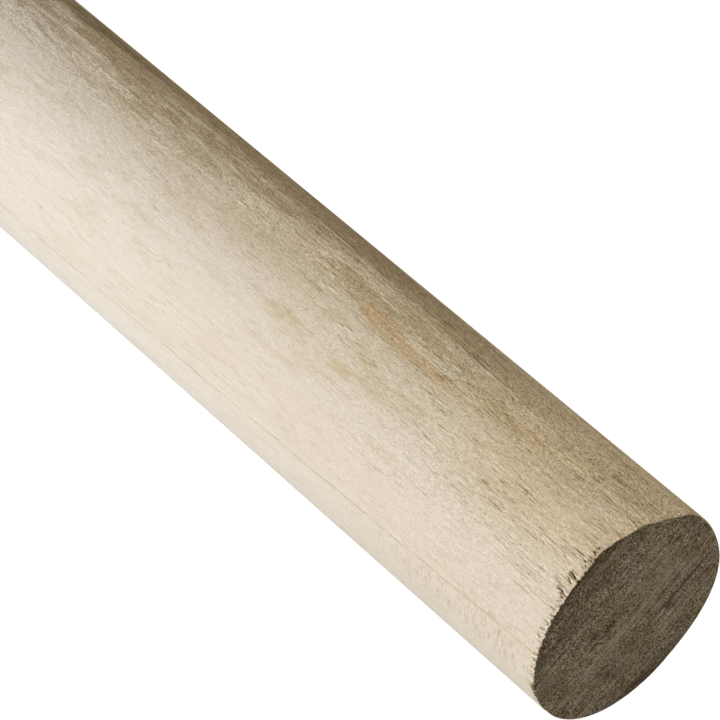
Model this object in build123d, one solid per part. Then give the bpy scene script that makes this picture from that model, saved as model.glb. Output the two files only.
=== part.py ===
from build123d import *
import os

# Round wooden dowel rod: one solid piece of wood, in millimetres.
# The grain runs along +Z, and the origin is the middle of the bottom end, which the rod stands on.
# Both ends are sawn square. The saw tore fibres out at the arris of the top end, and that arris
# has been knocked off on one side.

# Driving dimensions
rod_diameter = 25.4
rod_length = 304.8

# Rounding of the arris of both ends
arris_radius = 0.2

# The knocked place on the top arris: its angle around the axis from +X, in degrees,
# and how far it reaches down the side and in over the end
knock_angle = -146
knock_reach = 0.7

# Pits where fibres were torn out at the top arris: the angle around the axis, how far down the
# widest place is as a share of the full length, and the size as a share of the full sizes
tears = (
    (-106, 0.95, 0.40),
    (-99, 0.60, 0.50),
    (-96, 0.85, 0.50),
    (-88, 0.85, 0.80),
    (-85, 0.70, 0.50),
    (-80, 0.95, 0.60),
    (-71, 0.65, 0.50),
    (-63, 0.35, 0.40),
    (-55, 0.55, 0.50),
    (-46, 0.15, 0.45),
    (-42, 0.10, 0.50),
    (-33, 0.20, 0.45),
    (-28, 0.15, 0.45),
    (-23, 0.05, 1.00),
    (-16, 0.10, 0.45),
)
tear_width = 0.6
tear_depth = 0.45
tear_length = 1.1

# A pit is steep towards the sawn end, over this share of its length, and runs out along the
# grain below. Its lower end leans over by this angle, in degrees.
tear_steep_share = 0.35
tear_lean = 15

# Drying cracks in the top end, along the growth rings, which run along X there: the middle in X
# and Y as shares of the rod's radius, and the length as a share of the full length
cracks = (
    (0.63, -0.44, 1.0),
    (0.19, -0.42, 0.5),
    (-0.13, -0.41, 0.6),
    (0.66, 0.04, 0.2),
)
crack_width = 0.2
crack_depth = 0.5
crack_length = 3.6

# What follows from these
rod_radius = rod_diameter / 2

# A cutter for a pit or a crack is this many times as high as the opening is deep, to cut clear of the surface.
overreach = 1.5


def slit(width, depth, above, below):
    """A cutter for a slim opening in the plane x = 0. It reaches so far above and below its widest
    place, where it is pointed, and closes to a point at its depth towards -X."""
    outline = Polygon((0, -below), (width / 2, 0), (0, above), (-width / 2, 0), align=None)
    mouth = Plane.YZ.offset((overreach - 1) * depth) * scale(outline, overreach)
    return loft([mouth.face(), Vertex(-depth, 0, 0)], ruled=True)


def sawn_blank():
    """The plain round rod, with the arris of each sawn end rounded."""
    blank = Cylinder(rod_radius, rod_length, align=(Align.CENTER, Align.CENTER, Align.MIN))
    return fillet(blank.edges().filter_by(GeomType.CIRCLE), arris_radius)


def knocked_off():
    """A block whose slanting face takes the top arris off on one side."""
    block = Box(rod_radius, rod_diameter, rod_diameter, align=(Align.MIN, Align.CENTER, Align.CENTER))
    middle = Pos(rod_radius - knock_reach / 2, 0, rod_length - knock_reach / 2)
    return Rot(0, 0, knock_angle) * middle * Rot(0, -45, 0) * block


def torn_out():
    """Pits along the grain, in the side just below the top end and in the arris itself."""
    pits = []
    for angle, down, size in tears:
        length = size * tear_length
        steep = tear_steep_share * length
        pit = slit(size * tear_width, size * tear_depth, steep, length - steep)
        widest = Pos(rod_radius, 0, rod_length - down * tear_length)
        pits.append(Rot(0, 0, angle) * widest * Rot(-tear_lean, 0, 0) * pit)
    return pits


def dried_open():
    """Cracks in the top end, which lie along X and close up inside the wood."""
    openings = []
    for x, y, share in cracks:
        half_length = share * crack_length / 2
        crack = slit(crack_width, crack_depth, half_length, half_length)
        middle = Pos(x * rod_radius, y * rod_radius, rod_length)
        openings.append(middle * Rot(0, -90, 0) * crack)
    return openings


dowel_rod = sawn_blank() - knocked_off() - torn_out() - dried_open()

os.makedirs("parts", exist_ok=True)
export_step(dowel_rod, "parts/dowel_rod.step")
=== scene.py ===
from math import pi, radians

import bpy
import numpy as np
from mathutils import Matrix, Vector


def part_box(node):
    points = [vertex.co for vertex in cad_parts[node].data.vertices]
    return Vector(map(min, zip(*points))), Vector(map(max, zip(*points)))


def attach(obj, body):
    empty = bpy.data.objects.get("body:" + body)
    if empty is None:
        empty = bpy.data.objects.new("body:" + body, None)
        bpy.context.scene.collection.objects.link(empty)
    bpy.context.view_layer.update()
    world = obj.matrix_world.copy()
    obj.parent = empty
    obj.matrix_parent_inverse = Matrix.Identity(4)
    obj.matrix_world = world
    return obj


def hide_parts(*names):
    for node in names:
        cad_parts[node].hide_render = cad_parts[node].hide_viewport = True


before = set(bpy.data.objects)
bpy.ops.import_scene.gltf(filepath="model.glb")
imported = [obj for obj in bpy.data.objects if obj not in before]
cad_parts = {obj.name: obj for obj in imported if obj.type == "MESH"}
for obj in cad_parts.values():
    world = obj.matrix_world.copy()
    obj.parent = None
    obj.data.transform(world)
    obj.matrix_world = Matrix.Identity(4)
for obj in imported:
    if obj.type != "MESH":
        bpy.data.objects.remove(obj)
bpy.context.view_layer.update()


# Camera
# It stands in front of the sawn end and looks down along the rod, and is turned about its own line of sight,
# so that the rod comes from the upper left of the picture to its sawn end at the lower right.
rod_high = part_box("dowel_rod")[1]
camera_from_end = Vector((-0.00229, -0.37116, 0.19535))
looking_down = radians(32.908)
turned_about_sight = radians(130.353)

camera = bpy.data.objects.new("camera", bpy.data.cameras.new("camera"))
camera.data.sensor_width = 36
camera.data.lens = 205.43
camera.matrix_world = (
    Matrix.Translation(Vector((0, 0, rod_high.z)) + camera_from_end)
    @ Matrix.Rotation(pi / 2 - looking_down, 4, "X")
    @ Matrix.Rotation(turned_about_sight, 4, "Z")
)
bpy.context.scene.collection.objects.link(camera)
bpy.context.scene.camera = camera


# Dowel rod
# One length of pale bare hardwood, round, a little less so at the back, and sawn square at both ends. The saw
# tore fibres out of the arris of its top end, which is worn round on one side. Its sizes are in millimetres,
# and its angles in degrees around it from +X.
mm = 0.001
rod_length = rod_high.z / mm
inside_solid = 0.02
rod_radius = rod_high.x / mm - inside_solid
swell = 0.4
sharp_arris = 0.12
worn_angle, worn_half_width, worn_arris = -146, 18, 0.55
bottom_arris = 0.35
cut_roll_off = 0.03

# Pits torn out of the top arris: angle, distance down the side, width, length and depth
torn_pits = (
    (-105.7, 0.85, 0.16, 0.50, 0.14),
    (-102.5, 0.60, 0.14, 0.60, 0.10),
    (-99.4, 0.50, 0.20, 0.75, 0.22),
    (-96.3, 0.80, 0.26, 0.60, 0.10),
    (-88.4, 0.80, 0.34, 0.95, 0.32),
    (-85.4, 0.65, 0.24, 0.50, 0.18),
    (-80.2, 0.95, 0.30, 1.60, 0.08),
    (-77.6, 0.24, 0.16, 0.30, 0.16),
    (-75.9, 0.34, 0.14, 0.26, 0.14),
    (-70.7, 0.60, 0.15, 0.90, 0.14),
    (-67.9, 0.20, 0.16, 0.40, 0.12),
    (-63.3, 0.30, 0.18, 0.36, 0.18),
    (-60.3, 0.45, 0.13, 0.36, 0.12),
    (-55.1, 0.50, 0.15, 0.80, 0.12),
    (-46.1, 0.05, 0.24, 0.40, 0.20),
    (-42.2, 0.00, 0.26, 0.40, 0.22),
    (-37.0, 0.15, 0.16, 0.50, 0.14),
    (-32.7, 0.10, 0.18, 0.70, 0.20),
    (-27.6, 0.10, 0.22, 0.50, 0.20),
    (-23.5, -0.10, 0.60, 0.90, 0.45),
    (-16.5, 0.05, 0.24, 0.50, 0.24),
    (-12.5, 0.00, 0.22, 0.40, 0.18),
)


def hump(distance, half_width):
    """1 where the distance is 0, falling smoothly to 0 at half a width to each side."""
    share = np.clip(np.abs(distance) / half_width, 0, 1)
    return 1 - share * share * (3 - 2 * share)


def turned(angle, middle):
    """Degrees from the middle angle to the other, the short way round."""
    return (angle - middle + 180) % 360 - 180


# Columns of vertices run down the rod, close together where the arris is torn. Their seam is at the back.
seam_angle = 90
torn_from, torn_to = -118, -6
wide_step, close_step = 0.9, 0.27
angles = np.concatenate([
    np.arange(seam_angle - 360, torn_from, wide_step),
    np.arange(torn_from, torn_to, close_step),
    np.arange(torn_to, seam_angle, wide_step),
])
columns = len(angles)
turns = np.radians(angles)
edge_radius = rod_radius + swell * (hump(turned(angles, 42), 54) + hump(turned(angles, 133), 38))
edge_radius = np.minimum(edge_radius, rod_radius / np.maximum(np.abs(np.cos(turns)), np.abs(np.sin(turns))))
worn = np.minimum(1.8 * hump(turned(angles, worn_angle), worn_half_width), 1)
arris = sharp_arris + worn_arris * worn + 0.15 * hump(turned(angles, 172), 30)
arris = arris + 0.12 * hump(turned(angles, 92), 20)
cut_drop = cut_roll_off + 0.12 * hump(turned(angles, -106), 22) + 0.1 * hump(turned(angles, -22), 20)

# Rows of vertices run round it: over the top end from its middle, over the arris, down the side, over the
# bottom arris and in to the middle of the bottom end. Each has a radius, a height and a distance past the
# place where the sawn top end begins to turn over.
top_rings = 18
arris_rows, bottom_arris_rows = 6, 4
roll_off_reach = 0.3
first_step, step_growth, longest_step = 0.07, 1.12, 6.0
bottom_rings = (0.97, 0.9, 0.8, 0.65, 0.5, 0.3, 0.12)

flat_radius = edge_radius - arris
cut_height = rod_length - cut_drop
radii, heights, past = [], [], []
for share in np.sin(np.linspace(0, pi / 2, top_rings + 1)[1:]):
    radii.append(share * flat_radius)
    heights.append(rod_length - cut_drop * hump(1 - share, roll_off_reach))
    past.append((share - 1) * flat_radius)
for lean in np.linspace(0, pi / 2, arris_rows + 1)[1:]:
    radii.append(flat_radius + arris * np.sin(lean))
    heights.append(cut_height - arris * (1 - np.cos(lean)))
    past.append(arris * lean)

steps = [first_step]
while steps[-1] * step_growth < longest_step:
    steps.append(steps[-1] * step_growth)
side_top = cut_height - arris
side_length = side_top.mean() - bottom_arris
steps_left = round((side_length - sum(steps)) / longest_step)
steps += [(side_length - sum(steps)) / steps_left] * steps_left
for share in np.cumsum(steps) / side_length:
    radii.append(edge_radius)
    heights.append(side_top + (bottom_arris - side_top) * share)
    past.append(arris * pi / 2 + side_top - heights[-1])
top_rows = len(radii)
for lean in np.linspace(0, pi / 2, bottom_arris_rows + 1)[1:]:
    radii.append(edge_radius - bottom_arris * (1 - np.cos(lean)))
    heights.append(np.full(columns, bottom_arris * (1 - np.sin(lean))))
    past.append(np.full(columns, rod_length))
for share in bottom_rings:
    radii.append(share * (edge_radius - bottom_arris))
    heights.append(np.zeros(columns))
    past.append(np.full(columns, rod_length))
radii, heights, past = np.array(radii), np.array(heights), np.array(past)
rows = len(radii)

# Each pit sinks the surface in a few ragged parts, and the fibres that it left standing rise a little along
# one edge of it.
lip_height = 0.03
slant = 0.27
edge_past = sharp_arris * pi / 2
halo = 0.45
parts_of_a_pit = 3
scatter = np.random.default_rng(5)
torn = np.zeros(radii.shape)
frayed = np.zeros(radii.shape)
rise = np.zeros(radii.shape)
for pit_angle, pit_down, pit_width, pit_length, pit_depth in torn_pits:
    for part in range(parts_of_a_pit):
        size = scatter.uniform(0.5, 0.95)
        aside = pit_width * scatter.uniform(-0.5, 0.5)
        further_down = past - edge_past - pit_down - pit_length * scatter.uniform(-0.35, 0.35)
        from_pit = rod_radius * np.radians(turned(angles, pit_angle)) + slant * (past - edge_past - pit_down)
        across = (from_pit - aside) / (size * pit_width / 2)
        along = further_down / (size * pit_length / 2)
        pit = np.clip(1.5 * (1 - np.hypot(across, along)), 0, 1)
        lip = np.clip(1.5 * (1 - np.hypot(across - 1.4, along * 0.8)), 0, 1)
        torn = torn + pit - lip * (1 - pit)
        reach = np.hypot(across * size * pit_width, along * size * pit_length) / 2
        frayed = np.maximum(frayed, hump(reach, halo + pit_width))
        rise = np.minimum(rise, -pit * pit_depth) + lip * (1 - pit) * lip_height
torn = np.clip(torn, -1, 1)

# The arris is frayed between the pits too, most of all on the side that the saw left last.
fray_seed = 11
fray_width = 0.16
fray_depth = 0.16
spots = np.arange(-180, 180, np.degrees(fray_width / rod_radius))
frays = np.random.default_rng(fray_seed).random(len(spots)) ** 2
nibbled = np.interp(turned(angles, 0), spots, frays) * (0.2 + 0.8 * hump(turned(angles, -58), 66))
rise = rise - fray_depth * nibbled * hump(past - edge_past, 0.4)

# The surface moves inwards on the side and downwards on the sawn end.
facing_up = hump(np.maximum(past, 0), edge_past)
radii = radii + rise * (1 - facing_up)
heights = heights + np.minimum(rise, 0) * facing_up
points = np.stack([radii * np.cos(turns), radii * np.sin(turns), heights], axis=-1).reshape(-1, 3)
points = np.concatenate([[[0, 0, rod_length]], points, [[0, 0, 0]]]) * mm

row, column = np.meshgrid(np.arange(rows - 1), np.arange(columns), indexing="ij")
corner_rows = np.stack([row, row + 1, row + 1, row], axis=-1).reshape(-1, 4)
corner_columns = np.stack([column, column, column + 1, column + 1], axis=-1).reshape(-1, 4)
quads = 1 + corner_rows * columns + corner_columns % columns
spoke = np.arange(columns)
next_spoke = (spoke + 1) % columns
last_row = 1 + (rows - 1) * columns
top_fan = np.stack([spoke * 0, 1 + spoke, 1 + next_spoke], axis=-1)
bottom_fan = np.stack([spoke * 0 + len(points) - 1, last_row + next_spoke, last_row + spoke], axis=-1)

rod_mesh = bpy.data.meshes.new("dowel_rod_wood")
rod_mesh.from_pydata(points.tolist(), [], quads.tolist() + top_fan.tolist() + bottom_fan.tolist())
rod_mesh.shade_smooth()
for name, by_row in (("past_arris", past), ("torn", torn), ("frayed", frayed)):
    values = np.concatenate([[by_row[0].mean()], by_row.ravel(), [by_row[-1].mean()]])
    rod_mesh.attributes.new(name, "FLOAT", "POINT").data.foreach_set("value", values.astype(np.float32))

# The map lays the side out as a strip, and each end as a disc with the arris round it. The top one also has
# the skirt, the part of the side just below the arris.
skirt = 4.0
strip_width = 0.75
disc_radius = 0.115
strip_edge = 0.005
top_disc, bottom_disc = (0.88, 0.87), (0.88, 0.62)

path = np.cumsum(np.hypot(np.diff(radii, axis=0), np.diff(heights, axis=0)), axis=0)
path = np.concatenate([radii[:1], radii[0] + path])
path_left = path[-1] + radii[-1] - path
skirt_row = int(np.argmax(past.mean(axis=1) > skirt))


def on_disc(middle, run, full_run, turn):
    """Places on a disc that lie as far from its middle as the surface runs from the middle of the end."""
    reach = disc_radius * run / full_run
    return np.stack([middle[0] + reach * np.cos(turn), middle[1] + reach * np.sin(turn)], axis=-1)


wrapped = corner_columns % columns
all_turns = np.append(turns, turns[0] + 2 * pi)
quad_map = np.stack([
    strip_edge + strip_width * (all_turns[corner_columns] - turns[0]) / (2 * pi),
    strip_edge + (1 - 2 * strip_edge) * heights[corner_rows, wrapped] / rod_length,
], axis=-1)
top_run, bottom_run = path[skirt_row].max(), path_left[top_rows - 1].max()
on_top, on_bottom = corner_rows[:, 0] < skirt_row, corner_rows[:, 0] >= top_rows - 1
top_map = on_disc(top_disc, path[corner_rows, wrapped], top_run, turns[wrapped])
bottom_map = on_disc(bottom_disc, path_left[corner_rows, wrapped], bottom_run, -turns[wrapped])
quad_map[on_top] = top_map[on_top]
quad_map[on_bottom] = bottom_map[on_bottom]
top_ring = on_disc(top_disc, path[0], top_run, turns)
bottom_ring = on_disc(bottom_disc, path_left[-1], bottom_run, -turns)
top_fan_map = np.stack([top_ring * 0 + top_disc, top_ring, top_ring[next_spoke]], axis=1)
bottom_fan_map = np.stack([bottom_ring * 0 + bottom_disc, bottom_ring[next_spoke], bottom_ring], axis=1)
corner_map = np.concatenate([part.reshape(-1, 2) for part in (quad_map, top_fan_map, bottom_fan_map)])
rod_mesh.uv_layers.new(name="OFBake").uv.foreach_set("vector", corner_map.astype(np.float32).ravel())

rod = bpy.data.objects.new("dowel_rod_wood", rod_mesh)
bpy.context.scene.collection.objects.link(rod)
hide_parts("dowel_rod")
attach(rod, "root")


# The wood is worked out in the solid, so that the rings, fibres and pores of the sawn ends run on down
# the side.
class Shade:
    """One output of a shader node. Sums and products of shades add the nodes that work them out."""

    def __init__(self, tree, socket=None):
        self.tree = tree
        self.socket = socket

    def node(self, kind, settings=None, inputs=None, output=0):
        """Adds a node, makes its settings first and then its inputs, and returns one of its outputs."""
        made = self.tree.nodes.new("ShaderNode" + kind)
        for name, value in (settings or {}).items():
            setattr(made, name, value)
        for name, value in (inputs or {}).items():
            if isinstance(value, Shade):
                self.tree.links.new(value.socket, made.inputs[name])
            else:
                made.inputs[name].default_value = value
        return Shade(self.tree, made.outputs[output] if made.outputs else None)

    def beside(self, output):
        """Another output of the node that this one comes from."""
        return Shade(self.tree, self.socket.node.outputs[output])

    def maths(self, operation, first, second=0.0):
        return self.node("Math", {"operation": operation}, {0: first, 1: second})

    def __add__(self, other):
        return self.maths("ADD", self, other)

    __radd__ = __add__

    def __sub__(self, other):
        return self.maths("SUBTRACT", self, other)

    def __rsub__(self, other):
        return self.maths("SUBTRACT", other, self)

    def __mul__(self, other):
        return self.maths("MULTIPLY", self, other)

    __rmul__ = __mul__

    def __truediv__(self, other):
        return self.maths("DIVIDE", self, other)

    def size(self):
        """This value without its sign."""
        return self.maths("ABSOLUTE", self)

    def or_more(self, other):
        """The larger of this value and another."""
        return self.maths("MAXIMUM", self, other)

    def rise(self, start, end):
        """A smooth step from 0, where the value is start, to 1, where it is end."""
        return self.node("MapRange", {"interpolation_type": "SMOOTHSTEP"}, {0: self, 1: start, 2: end})

    def vector(self, operation, other):
        """Vector maths with this place and another, part by part."""
        return self.node("VectorMath", {"operation": operation}, {0: self, 1: other})

    def noise(self, in_x, in_y, in_z, detail=2.0, roughness=0.5, output="Fac"):
        """Noise from 0 to 1 whose specks have these sizes along the axes, in millimetres."""
        where = self.vector("MULTIPLY", (1 / in_x, 1 / in_y, 1 / in_z))
        inputs = {"Vector": where, "Scale": 1.0, "Detail": detail, "Roughness": roughness}
        return self.node("TexNoise", {}, inputs, output=output)

    def mixed(self, colour, other, mask):
        """A colour that gives way to another where the mask is 1."""
        return self.node("Mix", {"data_type": "RGBA"}, {0: mask, 6: colour, 7: other}, output=2)

    def tinted(self, colour, mask):
        """This colour, giving way to another where the mask is 1."""
        return self.mixed(self, colour, mask)

    def varied(self, amount, in_green, in_blue):
        """This colour, lighter or darker by a share of itself, and more so in its green and blue."""
        shares = (1.0, in_green, in_blue)
        share = self.node("VectorMath", {"operation": "SCALE"}, {0: shares, "Scale": amount.or_more(-0.7)})
        return self.vector("MULTIPLY", share.vector("ADD", (1.0, 1.0, 1.0)))


def rgb(red, green, blue):
    return (red, green, blue, 1.0)


wood = bpy.data.materials.new("pale_hardwood")
wood.use_nodes = True
wood.node_tree.nodes.clear()
shades = Shade(wood.node_tree)
place = shades.node("TexCoord", output="Object").vector("MULTIPLY", (1 / mm, 1 / mm, 1 / mm))
x, y, z = (shades.node("SeparateXYZ", {}, {0: place}, output=axis) for axis in "XYZ")
down = rod_length - z
angle = shades.maths("ARCTAN2", y, x) * (180 / pi)
past_arris, torn_away, frayed_by = (
    shades.node("Attribute", {"attribute_name": name}, output="Fac")
    for name in ("past_arris", "torn", "frayed")
)

# Fibres waver a little on their way down the rod.
waver = place.noise(1.5, 1.5, 14.0, output="Color").vector("SUBTRACT", (0.5, 0.5, 0.5))
wavy = place.vector("ADD", waver.vector("MULTIPLY", (0.5, 0.5, 0.0)))


def around(middle, half_width):
    """1 at an angle on the side, fading to 0 at so many degrees to each side of it."""
    return (angle - middle).size().rise(half_width, 0)


def blot(middle, down_at, half_across, half_along, uneven=0.0):
    """1 at a place on the side, given by its angle and distance from the top, and 0 outside its outline."""
    across = (angle - middle) * (rod_radius * pi / 180 / half_across)
    along = (down - down_at) / half_along
    return (across * across + along * along + uneven).rise(1, 0)


# Growth rings lie nearly level with X, climb towards +Y further down the rod, and bow a little. Each begins
# with a dark line. They lie further apart on one side of the first ring than on the other.
ring_climb, climb_change, ring_bow = 0.0325, 0.0013, 0.008
first_ring_at = 9.7
ring_gap, ring_gap_beyond = 3.5, 5.2
sway = (place.noise(9.0, 9.0, 90.0) - 0.5) * 0.8
wobble = (place.noise(1.2, 1.2, 4.0, 3.0, 0.6) - 0.5) * 0.5
layer = y - down * (ring_climb - x * climb_change) - x * x * ring_bow + sway + wobble + first_ring_at
ring_count = (layer / ring_gap).or_more(layer / ring_gap_beyond)
ring = ring_count.maths("FRACT", ring_count)
ring_line = ring.rise(0.045, 0.0).or_more(ring.rise(0.985, 1.0))
ring_edge = ring.rise(0.92, 0.96) * ring.rise(0.99, 0.965)
first_ring = (layer + 2.0).size().rise(5.0, 3.5)
dashes = place.noise(2.0, 2.0, 2.2, 2.0, 0.6).rise(0.36, 0.58)
cut_through = x.size().rise(3.0, 9.0) * (0.15 + first_ring * 0.85) * (0.25 + dashes * 0.75)
far_side = x.rise(-5.5, -9.5)

# Pores are slim tubes along the grain: streaks on the side and dots on the ends.
pore_across, pore_along = 0.36, 3.2
pore_radius, pore_reach = 0.06, 1.5
cells = wavy.vector("MULTIPLY", (1 / pore_across, 1 / pore_across, 1 / pore_along))
nearest = cells.node("TexVoronoi", {"feature": "F1"}, {"Vector": cells, "Scale": 1.0}, output="Position")
chance = nearest.beside("Color")
chance = chance.node("SeparateColor", {}, {0: chance})
off = cells.vector("SUBTRACT", nearest)
off = off.vector("MULTIPLY", (pore_across / pore_radius, pore_across / pore_radius, pore_along / pore_reach))
pore = off.node("VectorMath", {"operation": "LENGTH"}, {0: off}, output="Value").rise(1.0, 0.4)
pore = pore * chance.rise(0.1, 0.7)

# The side is cream towards +X and browner round the other way, in streaks and patches. Part of the brown on
# the -X side is painted shade, and the paler cream at the +X edge and further down is painted light.
cream = rgb(0.78, 0.69, 0.57)
cream_in_painted_light = rgb(0.90, 0.84, 0.75)
strand_cream = rgb(0.95, 0.88, 0.72)
pale_pink = rgb(0.80, 0.68, 0.54)
tan = rgb(0.82, 0.645, 0.385)
ochre = rgb(0.61, 0.48, 0.27)
brown = rgb(0.42, 0.30, 0.162)
dark_brown = rgb(0.15, 0.095, 0.04)
broad = place.noise(4.0, 4.0, 26.0, 3.0)
cloud = wavy.noise(2.4, 2.4, 11.0, 3.0, 0.6)
patch = wavy.noise(1.4, 1.4, 9.0, 3.0, 0.6)
strand = wavy.noise(0.5, 0.5, 7.0, 2.0, 0.7)
grain = wavy.noise(0.13, 0.13, 2.2, 1.0, 0.6)
grit = place.noise(0.11, 0.11, 0.13, 0.0)
silk = wavy.noise(0.09, 0.09, 0.8, 1.0, 0.8)
cross = place.noise(1.3, 1.3, 0.13, 1.0)
hair = wavy.noise(0.7, 0.7, 9.0, 2.0, 0.6)
hairline = (hair - 0.5).size().rise(0.02, 0.0)
towards_dark = x * -0.94 - y * 0.342
browning = (towards_dark + (broad - 0.5) * 6.0 - down * 0.065).rise(-1.0, 13.8)
openness = towards_dark + (patch - 0.5) * 6.0 - down.rise(0.0, 85.0) * 6.0
openness = openness + around(-85.0, 50.0) * down.rise(30.0, 6.0) * 5.0
rough_cut = 0.28 + openness.rise(-1.0, 18.0)
open_fibres = rough_cut * (0.3 + patch.rise(0.38, 0.62) * 0.7)
browner = towards_dark.rise(-2.0, 6.0)
# Painted light: the side turns paler cream at its +X edge and, except on the -X side, further down the rod.
painted_light_edge = x.rise(8.0, 13.0) * (0.4 + down.rise(20.0, 80.0) * 0.6)
painted_light_below = x.rise(-11.0, 3.0) * down.rise(40.0, 90.0) * 0.45
side = shades.mixed(cream, cream_in_painted_light, painted_light_edge.or_more(painted_light_below))
side = side.tinted(tan, browning)
# Painted shade: browner round about -168 degrees, deepening down the rod.
side = side.tinted(brown, around(-168.0, 26.0) * down.rise(16.0, 60.0) * down.rise(220.0, 150.0) * 0.9)
# A brown band along the -X side, partly the wood's own colour and partly painted shade, stronger further
# down.
brown_band_and_shade = (towards_dark + (cloud - 0.5) * 6.0 + (strand - 0.5) * 4.0).rise(10.2, 12.4)
side = side.tinted(brown, brown_band_and_shade * (0.2 + down.rise(15.0, 70.0) * 0.55))
side = side.tinted(ochre, cloud.rise(0.5, 0.68) * (0.1 + browner * 0.3))
side = side.tinted(pale_pink, cloud.rise(0.46, 0.32) * (0.08 + browner * 0.2))
side = side.tinted(brown, down.rise(55.0, 0.0) * 0.14)
side = side.tinted(brown, cross.rise(0.56, 0.68) * around(-37.0, 22.0) * down.rise(36.0, 4.0) * 0.6)

# Stains on the side: angle, distance from the top, half width, half length, colour and strength
orange_brown = rgb(0.60, 0.37, 0.15)
dull_brown = rgb(0.37, 0.265, 0.135)
stains = (
    (-122.5, 40.5, 1.1, 5.5, orange_brown, 0.6),
    (-118.5, 33.0, 0.8, 9.0, orange_brown, 0.45),
    (-117.0, 38.0, 0.5, 9.0, ochre, 0.5),
    (-126.5, 19.0, 0.9, 7.0, orange_brown, 0.4),
    (-91.0, 38.0, 1.0, 2.6, ochre, 0.45),
    (-92.5, 47.6, 1.2, 3.2, ochre, 0.5),
    (-92.0, 13.0, 2.8, 12.0, ochre, 0.25),
    (-113.0, 57.0, 2.4, 9.0, ochre, 0.35),
    (-130.0, 42.0, 1.0, 9.0, dull_brown, 0.25),
    (-128.0, 73.0, 1.4, 7.0, dull_brown, 0.3),
    (-158.0, 42.0, 2.2, 17.0, dull_brown, 0.4),
    (-162.0, 101.0, 2.2, 20.0, dark_brown, 0.6),
    (-104.0, 60.0, 1.8, 12.0, pale_pink, 0.35),
    (-121.0, 4.0, 0.8, 4.0, pale_pink, 0.45),
)
for stain_angle, stain_down, half_across, half_along, colour, strength in stains:
    mark = blot(stain_angle, stain_down, half_across, half_along, (strand - 0.5) * 4.5 + (cloud - 0.5) * 2.0)
    side = side.tinted(colour, mark * strength)

# The line of the ring that the side cuts last is strongest on the far side, where more lines follow it.
echo = layer * 2.3
echo_line = echo.maths("FRACT", echo).rise(0.28, 0.1) * layer.size().rise(1.0, 0.4)
echo_line = echo_line * far_side * down.rise(14.0, 30.0)
late_wood = layer.rise(0.0, 0.5) * layer.rise(5.0, 2.0) * far_side * down.rise(6.0, 34.0)
side = side.tinted(dull_brown, late_wood * 0.45)
broken = wavy.noise(0.5, 0.5, 3.4, 2.0, 0.7)
side = side.tinted(strand_cream, ring_edge * cut_through * broken.rise(0.5, 0.4) * 0.35)
side = side.tinted(brown, ring_line * cut_through * (1 - far_side) * 0.45)
far_line = ring.rise(0.11, 0.0).or_more(ring.rise(0.975, 1.0)) * far_side * broken.rise(0.46, 0.56)
side = side.tinted(dark_brown, far_line * down.rise(0.0, 30.0) * 0.65)
side = side.tinted(dark_brown, echo_line * dashes * 0.5)

# Open fibres: dark grooves, with pale strands standing between them. The dark of the grooves and pores is
# partly painted shade.
groove = grain.rise(0.57, 0.68) * strand.rise(0.42, 0.58)
ridge = grain.rise(0.43, 0.32) * strand.rise(0.6, 0.42)
side = side.tinted(ochre, strand.rise(0.5, 0.72) * open_fibres * 0.25)
calm = down.rise(15.0, 55.0)
towards_far = (towards_dark - calm * 3.0).rise(-5.0, 9.0) * 0.7
last = towards_dark.rise(8.0, 13.0)
fine_grain = (grit - 0.5) * (0.4 - calm * 0.18 + towards_far * 0.6 + last * 1.3)
fine_grain = fine_grain + (silk - 0.5) * (0.28 - calm * 0.2 + towards_far * 0.75 + last * 0.8)
# Grooves and pores darken the colour, partly as painted shade.
lines = ridge * 0.34 - groove * 0.5 - hairline * 0.45 - pore * 0.6
side = side.varied(lines * open_fibres + fine_grain, 1.2, 1.5)

# Pale flakes stand up from the side, each painted pale with a painted highlight and a painted shadow beside
# it: angle, distance from the top, half width, half length
flake_pale_and_highlight = rgb(1.0, 0.92, 0.74)
flakes = (
    (-129.6, 28.8, 0.15, 1.3),
    (-128.4, 29.9, 0.10, 0.9),
    (-124.5, 47.6, 0.20, 0.6),
    (-118.4, 46.2, 0.14, 1.1),
    (-117.2, 47.2, 0.10, 0.8),
    (-107.6, 40.6, 0.10, 1.0),
    (-106.6, 41.6, 0.08, 0.7),
    (-122.6, 62.6, 0.12, 1.2),
    (-134.0, 41.0, 0.12, 1.4),
)
for flake_angle, flake_down, half_across, half_along in flakes:
    # Each flake: pale fibre with a painted highlight.
    side = side.tinted(flake_pale_and_highlight, blot(flake_angle, flake_down, half_across, half_along) * 0.9)
    # Painted shadow beside the flake.
    side = side.tinted(dark_brown, blot(flake_angle - 1.3, flake_down, half_across * 0.7, half_along) * 0.5)

# The ends have soaked up light and dirt. Their cut fibres show as dark pores and pale tips.
sawn = rgb(0.245, 0.182, 0.112)
sawn_dark = rgb(0.058, 0.039, 0.018)
sawn_pale = rgb(0.46, 0.37, 0.25)
sawn_grey = rgb(0.20, 0.19, 0.14)
mottle = place.noise(0.8, 0.55, 6.0, 3.0, 0.9)
soaked = place.noise(3.4, 2.0, 12.0, 3.0, 0.6)
band = place.noise(9.0, 0.5, 60.0, 2.0, 0.7)
dash = place.noise(1.6, 0.16, 20.0, 1.0)
ray = place.noise(0.2, 4.0, 30.0, 1.0)
from_axis = shades.maths("SQRT", x * x + y * y)
end = shades.mixed(sawn, sawn_dark, soaked.rise(0.5, 0.72) * 0.5)
end = end.tinted(sawn_grey, soaked.rise(0.48, 0.34) * 0.5)
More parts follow.
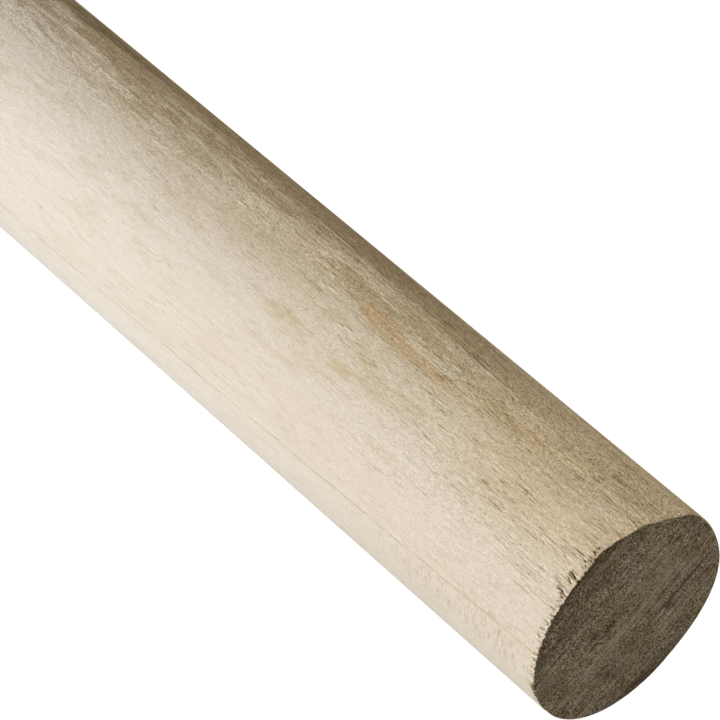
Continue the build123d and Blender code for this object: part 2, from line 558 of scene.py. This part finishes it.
# Soaked fibres and painted shade darken the rims of the sawn ends on their -Y half.
end = end.tinted(sawn_dark, (from_axis + (mottle - 0.5) * 2.0).rise(10.9, 12.6) * around(-85.0, 80.0) * 0.85)
end = end.tinted(sawn_dark, (from_axis + (mottle - 0.5) * 0.5).rise(12.2, 12.5) * around(-80.0, 60.0) * 0.6)
# Painted shade darkens the rims of the sawn ends at the back, where the arris turns away from the lamps.
end = end.tinted(sawn_dark, from_axis.rise(11.0, 12.5) * around(72.0, 42.0) * 0.7)
end = end.tinted(sawn_dark, ring_line * 0.3)
end = end.tinted(sawn_dark, pore * 0.8)
roughly_cut = y.rise(6.0, -10.0)
end = end.tinted(sawn_dark, mottle.rise(0.58, 0.68) * (0.25 + roughly_cut * 0.4))
grained = (mottle - 0.5) * (1.0 + roughly_cut * 1.1) + (band - 0.5) * 2.0 + (ray - 0.5) * 0.6
grained = grained + (grit - 0.5) * (4.4 + roughly_cut * 2.4) + (dash - 0.5) * 1.5
end = end.varied(grained, 1.13, 1.33)

# Marks on the top end: middle in X and Y, half length along X, half width, colour and strength
end_marks = (
    (-6.2, 4.6, 5.6, 0.24, sawn_dark, 0.7),
    (9.0, 4.3, 3.0, 0.24, sawn_dark, 0.6),
    (9.8, 5.7, 2.2, 0.24, sawn_dark, 0.7),
    (-3.6, 5.2, 0.7, 0.5, sawn_dark, 0.8),
    (1.0, 1.05, 11.0, 0.14, sawn_pale, 0.7),
    (-7.0, -0.2, 4.5, 0.3, sawn_dark, 0.35),
    (-1.7, -5.2, 1.1, 0.14, sawn_dark, 1.0),
    (-1.7, -5.45, 1.1, 0.10, sawn_pale, 0.8),
    (2.4, -5.35, 0.9, 0.14, sawn_dark, 1.0),
    (8.0, -5.6, 1.9, 0.16, sawn_dark, 1.0),
    (7.8, -5.9, 1.8, 0.10, sawn_pale, 0.8),
    (8.4, 0.5, 0.3, 0.22, sawn_dark, 1.0),
    (-9.4, -2.7, 0.6, 0.4, sawn_dark, 0.7),
    (8.6, -7.4, 2.6, 1.3, sawn_dark, 0.5),
    (0.6, -2.0, 2.4, 1.2, sawn_dark, 0.3),
    (3.6, -3.0, 0.8, 1.0, sawn_dark, 0.4),
    (-2.0, -7.6, 1.6, 0.6, sawn_dark, 0.4),
    (11.6, 3.4, 0.5, 1.3, sawn_dark, 0.5),
    (0.5, 1.3, 12.0, 1.3, sawn_pale, 0.25),
    (-5.5, -1.5, 4.5, 4.5, sawn_pale, 0.2),
    (0.5, -10.0, 6.5, 2.4, sawn_dark, 0.3),
    (3.8, -7.6, 2.4, 2.6, sawn_dark, 0.35),
    (-6.4, -9.0, 2.2, 1.8, sawn_dark, 0.35),
    (-11.4, -2.6, 1.4, 3.6, sawn_dark, 0.3),
    (-8.8, 2.6, 1.5, 1.8, sawn_pale, 0.2),
    (3.6, 6.2, 2.4, 1.2, sawn_pale, 0.2),
    (11.2, 1.3, 1.2, 1.0, sawn_pale, 0.25),
    (2.5, 11.4, 5.0, 1.4, sawn_dark, 0.35),
    (10.5, -3.0, 2.2, 4.0, sawn_dark, 0.25),
)
near_top = z.rise(rod_length / 3, rod_length / 2)
for mark_x, mark_y, half_length, half_width, colour, strength in end_marks:
    along_x = (x - mark_x) / half_length
    along_y = (y - mark_y + (mottle - 0.5) * 0.7) / half_width
    mark = (along_x * along_x + along_y * along_y).rise(1.0, 0.0) * mottle.rise(0.25, 0.5)
    end = end.tinted(colour, mark * near_top * strength)

# The dark of the sawn end comes over the arris as far as the cut fibres are open.
ragged = wavy.noise(0.25, 0.25, 3.0, 1.0)
torn_side = around(-66.0, 60.0)
soak = 0.1 + around(-106.0, 16.0) * 0.25 + around(-22.0, 7.0) * 0.4 + around(-147.0, 22.0) * 0.15
soak = soak + (ragged - 0.5) * (0.2 + torn_side * 0.9)
on_end = (soak - past_arris).rise(-0.08, 0.08)
on_bottom_end = (z + (ragged - 0.5) * 0.3).rise(0.25, 0.1)
on_end = on_end.or_more(on_bottom_end)
splinters = wavy.noise(0.2, 0.2, 0.55, 1.0)
near_cut = past_arris.rise(1.6, 0.1) * torn_side
loose = (near_cut * 0.5).or_more(frayed_by)
surface = side.tinted(brown, near_cut * around(-106.0, 22.0) * 0.5)
surface = surface.tinted(brown, frayed_by * splinters.rise(0.38, 0.56) * 0.65)
# Painted shadow among the loose fibres as dark specks, and pale specks of torn fibre, partly painted
# highlight.
surface = surface.tinted(dark_brown, splinters.rise(0.56, 0.62) * loose * 0.9)
surface = surface.tinted(strand_cream, splinters.rise(0.44, 0.35) * loose * 0.7)
surface = surface.tinted(end, on_end)
# Painted shade darkens the bottoms of the torn pits.
pit_shade = rgb(0.05, 0.032, 0.017)
pit_shade_mask = (torn_away + (grit - 0.5) * 3.0).rise(0.3, 0.5)
surface = surface.tinted(pit_shade, pit_shade_mask * torn_away.rise(0.0, 0.2) * 0.95)
# Pale fibre on the lips of the pits, partly painted highlight.
surface = surface.tinted(strand_cream, torn_away.rise(-0.2, -0.8) * splinters.rise(0.5, 0.4) * 0.6)

side_relief = ((0.5 - grain) * 1.6 - groove * 0.7 - pore * 1.2) * open_fibres
end_relief = mottle * 2.0 + grit - pore
relief = side_relief + (end_relief - side_relief) * on_end
relief_height = 0.03
bump = relief.node("Bump", {}, {"Strength": 1.0, "Distance": relief_height * mm, "Height": relief})
rough = 0.7 + (strand - 0.5) * 0.3 + on_end * 0.15
finish = shades.node("BsdfPrincipled", {}, {
    "Base Color": surface,
    "Roughness": rough,
    "Specular IOR Level": 0.08,
    "Normal": bump,
})
shades.node("OutputMaterial", {}, {"Surface": finish})
rod_mesh.materials.append(wood)


# Floor
# A plain pale floor that the rod stands on. The camera sees it white, apart from the rod's own shadow: by the
# rod, its glow only brings the lamplight up to white. It glows more further out, where less light falls.
floor_half = 6.0
glow_by_rod, glow_further_out = 0.525, 0.70
glow_rises_from, glow_rises_to = 0.08, 0.40
floor_corners = [(-1, -1, 0), (1, -1, 0), (1, 1, 0), (-1, 1, 0)]
floor_mesh = bpy.data.meshes.new("floor")
floor_mesh.from_pydata([Vector(corner) * floor_half for corner in floor_corners], [], [(0, 1, 2, 3)])
floor = bpy.data.objects.new("floor", floor_mesh)
bpy.context.scene.collection.objects.link(floor)

pale_floor = bpy.data.materials.new("pale_floor")
pale_floor.use_nodes = True
pale_floor.node_tree.nodes.clear()
floor_shades = Shade(pale_floor.node_tree)
seen = floor_shades.node("LightPath", output="Is Camera Ray")
floor_place = floor_shades.node("TexCoord", output="Object")
from_rod = floor_shades.node("VectorMath", {"operation": "LENGTH"}, {0: floor_place}, output="Value")
further_out = from_rod.rise(glow_rises_from, glow_rises_to)
floor_finish = floor_shades.node("BsdfPrincipled", {}, {
    "Base Color": rgb(0.8, 0.8, 0.79),
    "Roughness": 0.9,
    "Emission Color": seen * (further_out * (glow_further_out - glow_by_rod) + glow_by_rod),
    "Emission Strength": 1.0,
})
floor_shades.node("OutputMaterial", {}, {"Surface": floor_finish})
floor_mesh.materials.append(pale_floor)


# Light
# A soft lamp low down on the pale side, a weaker one by the camera, and an even pale surround.
def soft_lamp(name, stand, aim, width, watts):
    """A square lamp that shines from where it stands towards the point that it is aimed at."""
    lamp = bpy.data.objects.new(name, bpy.data.lights.new(name, "AREA"))
    lamp.data.size = width
    lamp.data.energy = watts
    lamp.location = stand
    lamp.rotation_euler = (Vector(aim) - Vector(stand)).to_track_quat("-Z", "Y").to_euler()
    lamp.visible_camera = False
    bpy.context.scene.collection.objects.link(lamp)


lamp_aim = (0, 0, 0.2)
lamp_width = 0.6
soft_lamp("key_lamp", (1.08, -0.72, 0.42), lamp_aim, lamp_width, 8.6)
soft_lamp("fill_lamp", (-0.35, -1.3, 0.7), lamp_aim, lamp_width, 4.4)

surround = bpy.data.worlds.new("surround")
surround.use_nodes = True
surround.node_tree.nodes.clear()
surround_shades = Shade(surround.node_tree)
seen = surround_shades.node("LightPath", output="Is Camera Ray")
surround_light = 0.36
glow = surround_shades.node("Background", {}, {
    "Color": rgb(1.0, 1.0, 1.0),
    "Strength": surround_light + seen * (1 - surround_light),
})
surround_shades.node("OutputWorld", {}, {"Surface": glow})
bpy.context.scene.world = surround
bpy.context.scene.view_settings.view_transform = "Standard"
